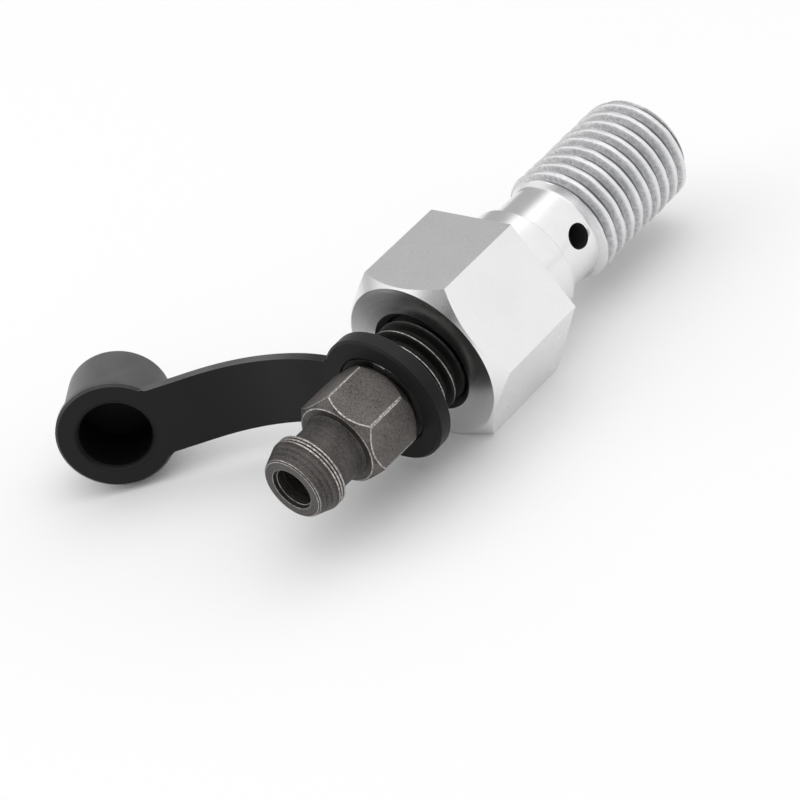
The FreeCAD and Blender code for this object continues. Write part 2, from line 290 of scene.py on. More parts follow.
def drawn_zinc(colours):
    """Bright zinc on cold-drawn hexagon bar.

    It gives a satin, nearly white metal with a fine grain drawn out along the bar. The
    grain's real 0.05 mm would not show, so it is drawn at 0.16 mm.
    """
    material, tree, point = new_material("bright_zinc_on_drawn_bar")
    drawn_out = node(tree, "ShaderNodeMapping", {"Vector": point, "Scale": (0.4, 1.0, 1.0)})
    grain = node(
        tree, "ShaderNodeTexNoise",
        {"Vector": drawn_out, "Scale": scale_for(0.16), "Detail": 4.0, "Roughness": 0.7}
    )
    cloud = node(
        tree, "ShaderNodeTexNoise", {"Vector": point, "Scale": scale_for(3.5), "Detail": 3.0}
    )
    stain = node(
        tree, "ShaderNodeMapRange",
        {"Value": cloud, "From Min": 0.4, "From Max": 0.8, "To Min": 0.0, "To Max": 0.1}
    )
    tint = node(
        tree, "ShaderNodeMix", {0: stain, 1: linear(colours.zinc), 2: linear(colours.zinc_root)},
        data_type="RGBA"
    )
    satin = node(tree, "ShaderNodeMapRange", {"Value": grain, "To Min": 0.22, "To Max": 0.36})
    relief = node(tree, "ShaderNodeBump", {"Height": grain, "Distance": 0.006 * MM})
    shader = node(
        tree, "ShaderNodeBsdfPrincipled",
        {"Base Color": tint, "Metallic": 1.0, "Roughness": satin, "Normal": relief}
    )
    node(tree, "ShaderNodeOutputMaterial", {"Surface": shader})
    return material


def turned_zinc(colours):
    """Bright zinc on turned steel.

    It is glossier than the bar, with fine tool marks round the axis. They are 0.09 mm
    apart, as coarse as a finishing feed leaves them.
    """
    material, tree, point = new_material("bright_zinc_on_turned_steel")
    where, _ = lathe_point(tree, point)
    marks = node(
        tree, "ShaderNodeTexNoise", {"Vector": where, "Scale": scale_for(0.09), "Detail": 2.0}
    )
    cloud = node(
        tree, "ShaderNodeTexNoise", {"Vector": point, "Scale": scale_for(2.0), "Detail": 3.0}
    )
    stain = node(
        tree, "ShaderNodeMapRange",
        {"Value": cloud, "From Min": 0.4, "From Max": 0.8, "To Min": 0.0, "To Max": 0.12}
    )
    tint = node(
        tree, "ShaderNodeMix", {0: stain, 1: linear(colours.zinc), 2: linear(colours.zinc_root)},
        data_type="RGBA"
    )
    gloss = node(tree, "ShaderNodeMapRange", {"Value": marks, "To Min": 0.18, "To Max": 0.3})
    relief = node(tree, "ShaderNodeBump", {"Height": marks, "Distance": 0.003 * MM})
    shader = node(
        tree, "ShaderNodeBsdfPrincipled",
        {"Base Color": tint, "Metallic": 1.0, "Roughness": gloss, "Normal": relief}
    )
    node(tree, "ShaderNodeOutputMaterial", {"Surface": shader})
    return material


def drilled_steel(colours):
    """Drilled steel under old oil.

    Plating hardly reaches inside the passages, and their dark grey is partly painted shade, so
    that they look nearly black from outside.
    """
    material, tree, point = new_material("drilled_steel_oil_dark_and_painted_shade")
    smear = node(
        tree, "ShaderNodeTexNoise", {"Vector": point, "Scale": scale_for(0.4), "Detail": 3.0}
    )
    wet = node(tree, "ShaderNodeMapRange", {"Value": smear, "To Min": 0.45, "To Max": 0.7})
    shader = node(
        tree, "ShaderNodeBsdfPrincipled",
        {"Base Color": linear(colours.drilled), "Metallic": 0.6, "Roughness": wet}
    )
    node(tree, "ShaderNodeOutputMaterial", {"Surface": shader})
    return material


def threaded_zinc(colours, crest_radius, depth):
    """Bright zinc on a cut thread.

    The crests are rubbed bright, the flanks are duller, with pits about 0.3 mm across
    where the tool tore the steel, and a line of painted shade darkens the roots.
    """
    material, tree, point = new_material("bright_zinc_on_cut_thread")
    _, radius = lathe_point(tree, point)
    height = node(
        tree, "ShaderNodeMapRange",
        {"Value": radius, "From Min": crest_radius - depth, "From Max": crest_radius}
    )
    rubbed = node(
        tree, "ShaderNodeMapRange",
        {"Value": height, "From Min": 0.6, "From Max": 1.0, "To Max": 0.8},
        interpolation_type="SMOOTHSTEP"
    )
    pits = node(
        tree, "ShaderNodeTexNoise",
        {"Vector": point, "Scale": scale_for(0.3), "Detail": 6.0, "Roughness": 0.75}
    )
    mottle = node(
        tree, "ShaderNodeMapRange",
        {"Value": pits, "From Min": 0.33, "From Max": 0.6}
    )
    dull = node(
        tree, "ShaderNodeMix", {0: mottle, 1: linear(colours.zinc_root), 2: linear(colours.zinc)},
        data_type="RGBA"
    )
    # Painted shade along the thread's roots, fading out by a fifth of the thread's depth.
    root_shade_fade = node(
        tree, "ShaderNodeMapRange", {"Value": height, "From Min": 0.02, "From Max": 0.2},
        interpolation_type="SMOOTHSTEP"
    )
    with_root_shade = node(
        tree, "ShaderNodeMix", {0: root_shade_fade, 1: linear(colours.zinc_root_shade), 2: dull},
        data_type="RGBA"
    )
    tint = node(
        tree, "ShaderNodeMix", {0: rubbed, 1: with_root_shade, 2: linear(colours.zinc)}, data_type="RGBA"
    )
    gloss = node(tree, "ShaderNodeMapRange", {"Value": rubbed, "To Min": 0.42, "To Max": 0.34})
    relief = node(tree, "ShaderNodeBump", {"Height": pits, "Distance": 0.05 * MM})
    shader = node(
        tree, "ShaderNodeBsdfPrincipled",
        {"Base Color": tint, "Metallic": 1.0, "Roughness": gloss, "Normal": relief}
    )
    node(tree, "ShaderNodeOutputMaterial", {"Surface": shader})
    return material


def phosphate_crystals(tree, point):
    """Crystals of the coating. Their real 0.02 mm would not show, so they are 0.13 mm."""
    return node(
        tree, "ShaderNodeTexNoise",
        {"Vector": point, "Scale": scale_for(0.13), "Detail": 4.0, "Roughness": 0.8}
    )


def phosphated_steel(name, light, dark, tooling):
    """Oiled phosphate on steel.

    It gives a dark, warm, half metallic grey with a fine crystalline speckle. Tooling is
    the strength of the rings that a turning tool leaves, 0.12 mm apart.
    """
    material, tree, point = new_material(name)
    crystals = phosphate_crystals(tree, point)
    where, _ = lathe_point(tree, point)
    marks = node(
        tree, "ShaderNodeTexNoise", {"Vector": where, "Scale": scale_for(0.12), "Detail": 3.0}
    )
    cloud = node(
        tree, "ShaderNodeTexNoise", {"Vector": point, "Scale": scale_for(2.2), "Detail": 3.0}
    )
    speckle = node(
        tree, "ShaderNodeMapRange", {"Value": crystals, "From Min": 0.35, "From Max": 0.65}
    )
    rings = node(
        tree, "ShaderNodeMapRange",
        {"Value": marks, "From Min": 0.35, "From Max": 0.65, "To Min": -tooling, "To Max": tooling}
    )
    patchy = node(tree, "ShaderNodeMath", {0: speckle, 1: cloud}, operation="ADD")
    oil = node(tree, "ShaderNodeMath", {0: patchy, 1: rings}, operation="ADD")
    dry = node(
        tree, "ShaderNodeMapRange", {"Value": oil, "From Min": 0.45, "From Max": 1.45}
    )
    tint = node(
        tree, "ShaderNodeMix", {0: dry, 1: linear(dark), 2: linear(light)}, data_type="RGBA"
    )
    relief = node(
        tree, "ShaderNodeMath", {0: marks, 1: 4 * tooling, 2: crystals},
        operation="MULTIPLY_ADD"
    )
    normal = node(tree, "ShaderNodeBump", {"Height": relief, "Distance": 0.035 * MM})
    satin = node(tree, "ShaderNodeMapRange", {"Value": crystals, "To Min": 0.36, "To Max": 0.55})
    shader = node(
        tree, "ShaderNodeBsdfPrincipled",
        {"Base Color": tint, "Metallic": 0.75, "Roughness": satin, "Normal": normal}
    )
    node(tree, "ShaderNodeOutputMaterial", {"Surface": shader})
    return material


def worn_steel(colours):
    """Edges rubbed through the phosphate.

    It gives a bright line of steel, broken where coating is left in the dips.
    """
    material, tree, point = new_material("phosphate_rubbed_to_bright_steel")
    crystals = phosphate_crystals(tree, point)
    patches = node(
        tree, "ShaderNodeTexNoise",
        {"Vector": point, "Scale": scale_for(0.16), "Detail": 4.0, "Roughness": 0.7}
    )
    rubbed = node(
        tree, "ShaderNodeMapRange", {"Value": patches, "From Min": 0.36, "From Max": 0.62},
        interpolation_type="SMOOTHSTEP"
    )
    tint = node(
        tree, "ShaderNodeMix",
        {0: rubbed, 1: linear(colours.phosphate), 2: linear(colours.worn)}, data_type="RGBA"
    )
    gloss = node(tree, "ShaderNodeMapRange", {"Value": rubbed, "To Min": 0.45, "To Max": 0.3})
    relief = node(tree, "ShaderNodeBump", {"Height": crystals, "Distance": 0.008 * MM})
    shader = node(
        tree, "ShaderNodeBsdfPrincipled",
        {"Base Color": tint, "Metallic": 1.0, "Roughness": gloss, "Normal": relief}
    )
    node(tree, "ShaderNodeOutputMaterial", {"Surface": shader})
    return material


def moulded_rubber(colours, ring_reach, cup):
    """Black nitrile rubber, compression moulded.

    It is nearly black and matt where it faces sideways, with a grain of 0.14 mm from the
    mould. What faces up gets a painted highlight in grey, which stands in for the light from
    above; it is weak on the ring, out to ring_reach, and left out of the cup's bore.
    """
    material, tree, point = new_material("moulded_nitrile_rubber")
    grain = node(
        tree, "ShaderNodeTexNoise",
        {"Vector": point, "Scale": scale_for(0.14), "Detail": 4.0, "Roughness": 0.65}
    )
    cloud = node(
        tree, "ShaderNodeTexNoise", {"Vector": point, "Scale": scale_for(2.5), "Detail": 4.0}
    )
    # Painted highlight: what faces up is made lighter grey, as if lit from above.
    facing = node(
        tree, "ShaderNodeSeparateXYZ",
        {"Vector": node(tree, "ShaderNodeNewGeometry").outputs["Normal"]}
    )
    upward = node(
        tree, "ShaderNodeMapRange",
        {"Value": facing.outputs["Z"], "From Min": 0.15, "From Max": 0.95},
        interpolation_type="SMOOTHSTEP"
    )
    patches = node(
        tree, "ShaderNodeMapRange",
        {"Value": cloud, "From Min": 0.3, "From Max": 0.7, "To Min": 0.7, "To Max": 1.1}
    )
    away = node(
        tree, "ShaderNodeMapRange",
        {"Value": node(tree, "ShaderNodeSeparateXYZ", {"Vector": point}).outputs["Y"],
         "From Min": ring_reach, "From Max": 2 * ring_reach, "To Min": 0.2},
        interpolation_type="SMOOTHSTEP"
    )
    from_cup = node(
        tree, "ShaderNodeVectorMath", {0: point, 1: Vector(cup["pos_m"])}, operation="SUBTRACT"
    )
    from_axis = node(
        tree, "ShaderNodeVectorMath", {0: from_cup, 1: Vector(cup["axis"])},
        operation="CROSS_PRODUCT"
    )
    bore = cup["dims"]["r_mm"] * MM
    outside = node(
        tree, "ShaderNodeMapRange",
        {"Value": node(tree, "ShaderNodeVectorMath", {0: from_axis}, operation="LENGTH"),
         "From Min": bore + 0.1 * MM, "From Max": bore + 0.5 * MM}
    )
    # Reach of the painted highlight and of the sheen: weak on the ring, none inside the cup's
    # bore.
    highlight_and_sheen_reach = node(tree, "ShaderNodeMath", {0: outside, 1: away}, operation="MULTIPLY")
    left = node(tree, "ShaderNodeMath", {0: upward, 1: patches}, operation="MULTIPLY")
    painted_highlight = node(tree, "ShaderNodeMath", {0: left, 1: highlight_and_sheen_reach}, operation="MULTIPLY")
    dust = node(tree, "ShaderNodeMath", {0: highlight_and_sheen_reach, 1: 0.4}, operation="MULTIPLY")
    # The painted highlight's grey laid over the black rubber.
    tint = node(
        tree, "ShaderNodeMix", {0: painted_highlight, 1: linear(colours.rubber), 2: linear(colours.painted_highlight)},
        data_type="RGBA"
    )
    matt = node(tree, "ShaderNodeMapRange", {"Value": grain, "To Min": 0.42, "To Max": 0.6})
    relief = node(tree, "ShaderNodeBump", {"Height": grain, "Distance": 0.008 * MM})
    shader = node(
        tree, "ShaderNodeBsdfPrincipled",
        {"Base Color": tint, "Roughness": matt, "Specular IOR Level": 0.14, "Normal": relief,
         "Sheen Weight": dust, "Sheen Roughness": 0.45}
    )
    node(tree, "ShaderNodeOutputMaterial", {"Surface": shader})
    return material


def studio_floor(colours):
    """Matt board, painted white, which takes the soft shadow."""
    material, tree, point = new_material("matt_white_board")
    paint = node(
        tree, "ShaderNodeTexNoise", {"Vector": point, "Scale": scale_for(0.8), "Detail": 2.0}
    )
    relief = node(tree, "ShaderNodeBump", {"Height": paint, "Distance": 0.005 * MM})
    board = node(
        tree, "ShaderNodeBsdfDiffuse", {"Color": linear(colours.floor), "Normal": relief}
    )
    node(tree, "ShaderNodeOutputMaterial", {"Surface": board})
    return material


def ring_turns():
    """Angles from the top of the points in one ring."""
    return [2 * math.pi * step / SEGMENTS for step in range(SEGMENTS)]


def turned_point(x, radius, turn):
    """Point at x and radius, at an angle from the top."""
    return Vector((x, -radius * math.sin(turn), radius * math.cos(turn)))


def circle(x, radius):
    """Points round the axis at x, starting at the top."""
    return [turned_point(x, radius, turn) for turn in ring_turns()]


def hexagon_radius(turn, across_flats, first_corner):
    """Distance from the axis to a hexagon's side, at an angle from the top."""
    from_side = (turn - first_corner) % (2 * HALF_SIDE) - HALF_SIDE
    return across_flats / 2 / math.cos(from_side)


def chamfer_ring(face_x, inward, across_flats, first_corner, face_radius, angle):
    """Where a turned chamfer meets the hexagon's sides, measured inward from a face."""
    points = []
    for turn in ring_turns():
        radius = hexagon_radius(turn, across_flats, first_corner)
        x = face_x + inward * (radius - face_radius) * math.tan(angle)
        points.append(turned_point(x, radius, turn))
    return points


def hexagon_ring(x, across_flats, first_corner):
    """Square end of a hexagon at x."""
    return chamfer_ring(x, 0.0, across_flats, first_corner, 0.0, 0.0)


def stations(start, end, spacing):
    """Evenly spaced places from start to end, both included."""
    count = max(1, round(abs(end - start) / spacing))
    return [start + (end - start) * step / count for step in range(count + 1)]


def welded_object(name, shape):
    """Object with a bmesh's shape, its double points welded and its faces turned outward."""
    bmesh.ops.remove_doubles(shape, verts=shape.verts, dist=WELD)
    bmesh.ops.recalc_face_normals(shape, faces=shape.faces)
    mesh = bpy.data.meshes.new(name)
    shape.to_mesh(mesh)
    shape.free()
    made = bpy.data.objects.new(name, mesh)
    bpy.context.scene.collection.objects.link(made)
    return made


def skin(name, rings, loop):
    """Mesh through rings of points; a loop joins the last ring to the first."""
    shape = bmesh.new()
    rows = [[shape.verts.new(point) for point in ring] for ring in rings]
    last = len(rows) if loop else len(rows) - 1
    for index in range(last):
        low = rows[index]
        high = rows[(index + 1) % len(rows)]
        for step in range(len(low)):
            after = (step + 1) % len(low)
            shape.faces.new((low[step], low[after], high[after], high[step]))
    return welded_object(name, shape)


def thread_height(phase, depth_in_pitches, crest_half):
    """Height of a 60 degree thread, 1 on its crest and 0 in its root, over one pitch."""
    flank = depth_in_pitches * math.tan(math.radians(30))
    from_crest = abs((phase + 0.5) % 1.0 - 0.5)
    climb = min(1.0, max(0.0, (crest_half + flank - from_crest) / flank))
    return climb - CORNER_EASE * math.sin(2 * math.pi * climb) / (2 * math.pi)


def thread_skin(name, start, end, crest, depth, pitch, crest_half, tear, limit, inside):
    """Mesh of a right-hand thread whose rows of points follow the helix.

    crest_half is half the flat on the crest, in pitches, and tear is how far the die has
    torn the crest down at most. limit(x) caps the radius at both ends, and inside gives
    (x, radius) points that close the shape from its end back to its start.
    """
    shape = bmesh.new()
    rows = []
    count = round((end - start) / pitch * ROWS_PER_PITCH)
    for row in range(-ROWS_PER_PITCH, count + 1):
        points = []
        for step in range(SEGMENTS):
            part_turn = step / SEGMENTS
            x = start + pitch * (row / ROWS_PER_PITCH + part_turn)
            x = min(end, max(start, x))
            phase = (x - start) / pitch - part_turn
            height = thread_height(phase, depth / pitch, crest_half)
            turn = 2 * math.pi * part_turn
            outward = Vector((0.0, -math.sin(turn), math.cos(turn)))
            where = Vector((x, 0.0, 0.0)) + outward * crest
            torn = min(1.0, max(0.0, 0.5 + noise.noise(where / TEAR_LENGTH))) * tear * height
            radius = min(crest - torn - depth * (1 - height), limit(x))
            points.append(shape.verts.new(Vector((x, 0.0, 0.0)) + outward * radius))
        rows.append(points)
    helical = len(rows)
    for x, radius in inside:
        rows.append([shape.verts.new(point) for point in circle(x, radius)])
    # After a full turn, a helical row meets the row that starts one pitch further on.
    for index, low in enumerate(rows):
        high = rows[(index + 1) % len(rows)]
        for step in range(SEGMENTS - 1):
            shape.faces.new((low[step], low[step + 1], high[step + 1], high[step]))
        if index < helical - 1:
            ahead = min(index + ROWS_PER_PITCH, helical - 1)
            ahead_high = min(index + 1 + ROWS_PER_PITCH, helical - 1)
            corners = (low[-1], rows[ahead][0], rows[ahead_high][0], high[-1])
        else:
            corners = (low[-1], low[0], high[0], high[-1])
        if len(set(corners)) == 4:
            shape.faces.new(corners)
    return welded_object(name, shape)


def smooth(piece, angle):
    """Shades smooth, apart from edges sharper than angle."""
    piece.data.shade_smooth()
    piece.data.set_sharp_from_angle(angle=angle)


def ease_edges(piece, width, angle, share, material_index=-1):
    """Rounds the outward edges sharper than angle, each by its share of width."""
    shape = bmesh.new()
    shape.from_mesh(piece.data)
    weights = shape.edges.layers.float.new("bevel_weight_edge")
    for edge in shape.edges:
        if edge.is_convex and edge.calc_face_angle(0.0) > angle:
            edge[weights] = share(edge)
    shape.to_mesh(piece.data)
    shape.free()
    modifier = piece.modifiers.new("eased_edges", "BEVEL")
    modifier.width = width
    modifier.segments = 3
    modifier.limit_method = "WEIGHT"
    modifier.material = material_index
    modifier.use_clamp_overlap = True
    weighted = piece.modifiers.new("face_weighted_normals", "WEIGHTED_NORMAL")
    weighted.keep_sharp = True
    weighted.weight = 80


def cut_through(piece, cutter):
    """Cuts one mesh out of another and drops the cutter."""
    modifier = piece.modifiers.new("drilling", "BOOLEAN")
    modifier.object = cutter
    modifier.operation = "DIFFERENCE"
    modifier.solver = "EXACT"
    graph = bpy.context.evaluated_depsgraph_get()
    cut = bpy.data.meshes.new_from_object(piece.evaluated_get(graph))
    piece.modifiers.remove(modifier)
    piece.data = cut
    bpy.data.objects.remove(cutter)


def bolt_seat(sizes):
    """Where the bolt's conical seat starts and where it meets the passage."""
    start = -sizes.head_length + sizes.bore_depth
    return start, start + sizes.bore_radius - sizes.passage_radius


def nipple_cone(sizes):
    """Where the nipple's plain shank starts and where its cone starts."""
    start = NIPPLE_HIGH.x - (sizes.cone_radius - sizes.cone_tip)
    return start - sizes.cone_shank, start


class BLEEDER_OT_banjo_bolt(bpy.types.Operator):
    """Builds the bolt's hexagon, land, drilled waist and passages"""

    bl_idname = "bleeder.banjo_bolt"
    bl_label = "Banjo bolt"

    def execute(self, context):
        sizes = context.scene.bleeder_bolt
        colours = context.scene.bleeder_colours
        near = -sizes.head_length
        face = sizes.face_circle / 2
        first_corner = HALF_SIDE
        mouth = 0.5 * MM
        land_chamfer = 0.2 * MM
        shoulder = 0.35 * MM
        waist_row = 0.15 * MM
        overlap = 0.6 * MM
        waist_start = sizes.land_length
        thread_start = waist_start + sizes.waist_length
        inside_thread = thread_start + overlap
        tucked_in = sizes.waist_radius - 0.35 * MM
        seat_start, seat_end = bolt_seat(sizes)
        rings = [circle(near, sizes.bore_radius + mouth), circle(near, face)]
        rings.append(
            chamfer_ring(near, 1, sizes.across_flats, first_corner, face, sizes.chamfer_angle)
        )
        rings.append(hexagon_ring(0.0, sizes.across_flats, first_corner))
        rings.append(circle(0.0, sizes.land_radius))
        rings += [circle(waist_start - land_chamfer, sizes.land_radius),
                  circle(waist_start, sizes.land_radius - land_chamfer)]
        for x in stations(waist_start + shoulder, thread_start, waist_row):
            rings.append(circle(x, sizes.waist_radius))
        rings += [circle(inside_thread, tucked_in),
                  circle(inside_thread, sizes.passage_radius),
                  circle(seat_end, sizes.passage_radius),
                  circle(seat_start, sizes.bore_radius),
                  circle(near + mouth, sizes.bore_radius)]
        body = skin("bolt_body", rings, loop=True)
        cut_through(body, self.drilling(sizes))
        body.data.materials.append(turned_zinc(colours))
        body.data.materials.append(drawn_zinc(colours))
        body.data.materials.append(drilled_steel(colours))
        flat = sizes.across_flats / 2 - 0.001 * MM
        square_to_axis = 0.01
        passages = sizes.waist_radius - 0.25 * MM
        for side in body.data.polygons:
            outward = side.center.yz.length
            if outward > flat and abs(side.normal.x) < square_to_axis:
                side.material_index = 1
            elif outward < passages:
                side.material_index = 2
            # The bore's mouth chamfer gets the same dark steel, as painted shade of the gap round
            # the nipple's thread.
            elif side.center.x < near + mouth and outward < sizes.bore_radius + mouth:
                side.material_index = 2
        sharp = math.radians(35)
        smooth(body, sharp)
        ease_edges(body, sizes.corner_width, sharp, self.edge_share)
        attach(body, "banjo_bolt")
        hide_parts("banjo_bolt")
        return {"FINISHED"}

    def edge_share(self, edge):
        """The drawn bar's own corners are rounder than the edges that turning leaves."""
        start, end = (point.co.x for point in edge.verts)
        shortest_bar_corner = 3 * MM
        if abs(start - end) > shortest_bar_corner:
            return 1.0
        at_sealing_face = abs(start) < TOUCH
        return 0.6 if at_sealing_face else 0.3

    def drilling(self, sizes):
        """Cross drilling with a broken edge where it leaves the waist."""
        reach = sizes.waist_radius
        sink = 0.12 * MM
        hole = sizes.drilling_radius
        rings = []
        for x, radius in ((-reach - 2 * sink, hole + 3 * sink), (-reach + sink, hole),
                          (reach - sink, hole), (reach + 2 * sink, hole + 3 * sink)):
            ring = []
            for step in range(DRILLING_SEGMENTS):
                turn = 2 * math.pi * step / DRILLING_SEGMENTS
                ring.append(Vector((x, radius * math.cos(turn), radius * math.sin(turn))))
            rings.append(ring)
        rings.insert(0, [Vector((rings[0][0].x, 0, 0))] * DRILLING_SEGMENTS)
        rings.append([Vector((rings[-1][0].x, 0, 0))] * DRILLING_SEGMENTS)
        cutter = skin("drilling_cutter", rings, loop=False)
        outward = Vector((0, -math.sin(sizes.drilling_turn), math.cos(sizes.drilling_turn)))
        turn = outward.to_track_quat("X", "Y").to_matrix().to_4x4()
        middle = Vector((sizes.land_length + sizes.drilling_offset, 0, 0))
        cutter.data.transform(Matrix.Translation(middle) @ turn)
        return cutter


class BLEEDER_OT_shank_thread(bpy.types.Operator):
    """Builds the helical thread of the bolt's shank"""

    bl_idname = "bleeder.shank_thread"
    bl_label = "Shank thread"

    def execute(self, context):
        sizes = context.scene.bleeder_bolt
        colours = context.scene.bleeder_colours
        start = sizes.land_length + sizes.waist_length
        end = BOLT_HIGH.x
        start_radius = sizes.waist_radius - 0.05 * MM
        end_radius = sizes.crest_radius - sizes.end_chamfer
        run_in_slope = 1.8
        mouth = 0.3 * MM
        crest_half = 1 / 10
        tear = 0.07 * MM

        def limit(x):
            run_in = start_radius + run_in_slope * (x - start)
            run_out = end_radius + (end - x)
            return min(run_in, run_out)

        inside = [(end, sizes.passage_radius + mouth),
                  (end - mouth, sizes.passage_radius), (start, sizes.passage_radius)]
        thread = thread_skin(
            "shank_thread", start, end, sizes.crest_radius, sizes.thread_depth, sizes.pitch,
            crest_half, tear, limit, inside
        )
        thread.data.materials.append(
            threaded_zinc(colours, sizes.crest_radius, sizes.thread_depth)
        )
        thread.data.materials.append(bpy.data.materials["bright_zinc_on_turned_steel"])
        thread.data.materials.append(bpy.data.materials["drilled_steel_oil_dark_and_painted_shade"])
        for side in thread.data.polygons:
            outward = side.center.yz.length
            on_chamfer = abs(outward - limit(side.center.x)) < TOUCH
            if on_chamfer or side.center.x > end - TOUCH:
                side.material_index = 1
            elif outward < sizes.passage_radius + mouth:
                side.material_index = 2
        smooth(thread, THREAD_SHARP)
        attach(thread, "banjo_bolt")
        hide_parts("banjo_bolt")
        return {"FINISHED"}


class BLEEDER_OT_bleed_nipple(bpy.types.Operator):
    """Builds the nipple's hexagon, hose spigot, bore and cone"""

    bl_idname = "bleeder.bleed_nipple"
    bl_label = "Bleed nipple"

    def execute(self, context):
        sizes = context.scene.bleeder_nipple
        colours = context.scene.bleeder_colours
        tip = NIPPLE_LOW.x
        cone_end = NIPPLE_HIGH.x
        front = tip + sizes.spigot_length
        back = front + sizes.hex_length
        face = sizes.face_circle / 2
        first_corner = math.radians(1)
        chamfer = math.radians(49)
        under_thread = 0.1 * MM
        core = sizes.crest_radius - sizes.thread_depth - under_thread
        shank_start, cone_start = nipple_cone(sizes)
        rings = [circle(x, radius) for x, radius in self.spigot(sizes, tip, front)]
        rings.append(circle(front, face))
        rings.append(chamfer_ring(front, 1, sizes.across_flats, first_corner, face, chamfer))
        rings.append(chamfer_ring(back, -1, sizes.across_flats, first_corner, face, chamfer))
        rings += [circle(back, face), circle(back, core),
                  circle(shank_start, core), circle(shank_start, sizes.cone_radius),
                  circle(cone_start, sizes.cone_radius), circle(cone_end, sizes.cone_tip),
                  circle(cone_end, 0.0)]
        body = skin("nipple_body", rings, loop=False)
        body.data.materials.append(phosphated_steel(
            "oiled_phosphate_on_steel", colours.phosphate, colours.phosphate_dark, tooling=0.05
        ))
        body.data.materials.append(worn_steel(colours))
        body.data.materials.append(phosphated_steel(
            "oiled_phosphate_on_turned_spigot", colours.spigot, colours.spigot_dark, tooling=0.3
        ))
        flat = sizes.across_flats / 2 - 0.001 * MM
        for side in body.data.polygons:
            outward = side.center.yz.length
            if side.center.x < front and abs(outward - sizes.rim_radius) < 2 * TOUCH:
                side.material_index = 1
            elif outward < flat:
                side.material_index = 2
        sharp = math.radians(24)
        smooth(body, sharp)
        ease_edges(body, sizes.wear, sharp, self.edge_share, material_index=1)
        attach(body, "bleed_nipple")
        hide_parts("bleed_nipple")
        return {"FINISHED"}

    def edge_share(self, edge):
        """Spanners rub the hexagon's edges most, and a hose rubs the finer spigot."""
        spigot_end = NIPPLE_LOW.x + 5 * MM
        return 1.0 if edge.verts[0].co.x > spigot_end else 0.5

    def spigot(self, sizes, tip, front):
        """Profile from the bore's end out through the tip and back to the hexagon."""
        rim_front = tip + sizes.nose_length
        rim_back = rim_front + sizes.rim_width
        rim = sizes.rim_radius
        groove = rim - 0.1 * MM
        bead = sizes.rim_width / 5
        bore_end = NIPPLE_HIGH.x - 4 * MM
        counterbore = tip + 0.3 * MM
        tip_chamfer = 0.12 * MM
        behind_rim = 0.4 * MM
        fillet = 0.25 * MM
        root = sizes.neck_radius + 0.2 * MM
        profile = [(bore_end, 0.0), (bore_end, sizes.bore_radius),
                   (counterbore, sizes.bore_radius), (counterbore, sizes.mouth_radius),
                   (tip, sizes.mouth_radius), (tip, sizes.tip_radius - tip_chamfer),
                   (tip + tip_chamfer, sizes.tip_radius), (rim_front, rim)]
        for start in (rim_front + bead, rim_front + 3 * bead):
            profile += [(start, rim), (start + 0.3 * bead, groove),
                        (start + 0.7 * bead, groove), (start + bead, rim)]
        profile += [(rim_back, rim), (rim_back + behind_rim, sizes.neck_radius),
                    (front - fillet, sizes.neck_radius), (front, root)]
        return profile


class BLEEDER_OT_nipple_thread(bpy.types.Operator):
    """Builds the helical thread of the nipple's shank"""

    bl_idname = "bleeder.nipple_thread"
    bl_label = "Nipple thread"

    def execute(self, context):
        bolt = context.scene.bleeder_bolt
        sizes = context.scene.bleeder_nipple
        colours = context.scene.bleeder_colours
        start = NIPPLE_LOW.x + sizes.spigot_length + sizes.hex_length
        shank_start, _ = nipple_cone(sizes)
        end = shank_start + sizes.crest_radius - sizes.cone_radius
        core = 2.5 * MM
        crest_half = 1 / 28
        tear = 0.0

        def limit(x):
            return sizes.cone_radius + max(0.0, end - x)

        thread = thread_skin(
            "nipple_thread", start, end, sizes.crest_radius, sizes.thread_depth, bolt.pitch,
            crest_half, tear, limit, [(end, core), (start, core)]
        )
        # Painted shade: the thread gets the phosphate in a near-black grey, standing in for the
        # shade in the gap at the bolt's bore mouth.
        thread.data.materials.append(phosphated_steel(
            "phosphate_on_thread_in_painted_shade", colours.thread_painted_shade, colours.thread_painted_shade, tooling=0.2
        ))
        thread.data.materials.append(worn_steel(colours))
        crest = sizes.crest_radius - TOUCH
        for side in thread.data.polygons:
            side.material_index = 1 if side.center.yz.length > crest else 0
        smooth(thread, THREAD_SHARP)
        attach(thread, "bleed_nipple")
        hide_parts("bleed_nipple")
        return {"FINISHED"}


class BLEEDER_OT_dust_cap(bpy.types.Operator):
    """Gives the tethered dust cap its moulded rubber"""

    bl_idname = "bleeder.dust_cap"
    bl_label = "Dust cap"

    def execute(self, context):
        cap = frame["nodes"]["dust_cap"]
        cap.data.materials.clear()
        low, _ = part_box("dust_cap")
        ring_reach = -low.y
        cap.data.materials.append(
            moulded_rubber(context.scene.bleeder_colours, ring_reach, MOUNTS["cap_bore"])
        )
        return {"FINISHED"}


